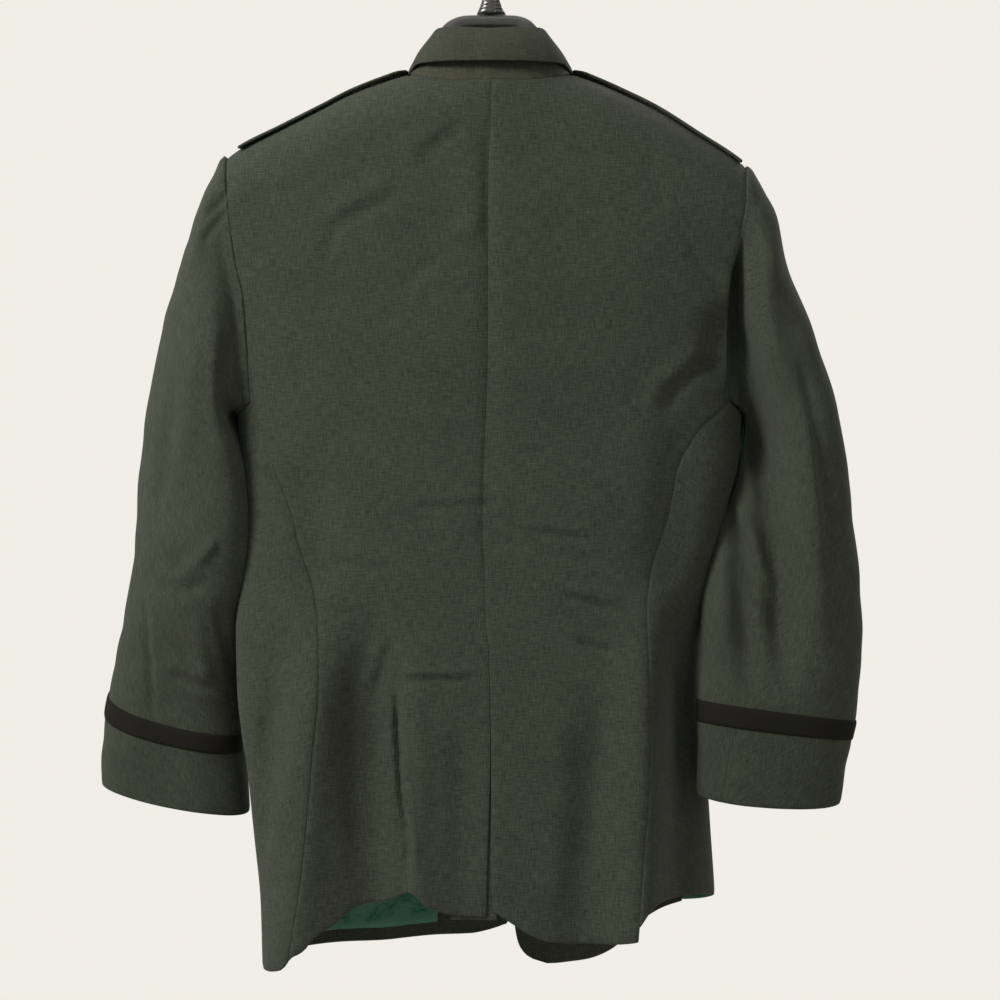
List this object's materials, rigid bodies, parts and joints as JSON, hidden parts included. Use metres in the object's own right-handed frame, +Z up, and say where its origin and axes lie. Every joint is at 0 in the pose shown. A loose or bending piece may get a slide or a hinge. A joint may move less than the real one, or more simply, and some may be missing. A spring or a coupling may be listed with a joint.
{
  "type": "military coat on a hanger",
  "caption": "Long-sleeved uniform coat with notched lapels, shoulder loops, cuff braid and a back vent, hanging open-hemmed on a moulded plastic hanger.",
  "frame": {"origin": "inside top of the hanger's hook, where it rests on its rail", "axes": "+Z up, +Y out of the coat's back, +X to the wearer's left"},
  "size_m": [0.7362, 0.1548, 0.9959],
  "materials": {
    "cloth": "matt green plain weave",
    "braid": "matt black braid",
    "lining": "satin green lining",
    "button_brass": "polished",
    "hanger_plastic": "gloss black"
  },
  "bodies": {
    "root": {"back_left": "cloth", "back_right": "cloth", "braid_left": "braid", "braid_right": "braid", "collar_fall": "cloth", "collar_stand": "cloth", "front_button_1": "button_brass", "front_button_2": "button_brass", "front_button_3": "button_brass", "front_button_4": "button_brass", "front_left": "cloth", "front_right": "cloth", "hanger": "hanger_plastic", "hanger_hook": "hanger_plastic", "lapel_left": "cloth", "lapel_right": "cloth", "lining_left": "lining", "lining_right": "lining", "loop_button_left": "button_brass", "loop_button_right": "button_brass", "pocket_flap_left": "cloth", "pocket_flap_right": "cloth", "shoulder_loop_left": "cloth", "shoulder_loop_right": "cloth", "side_left": "cloth", "side_right": "cloth", "top_sleeve_left": "cloth", "top_sleeve_right": "cloth", "under_sleeve_left": "cloth", "under_sleeve_right": "cloth"}
  },
  "joints": []
}
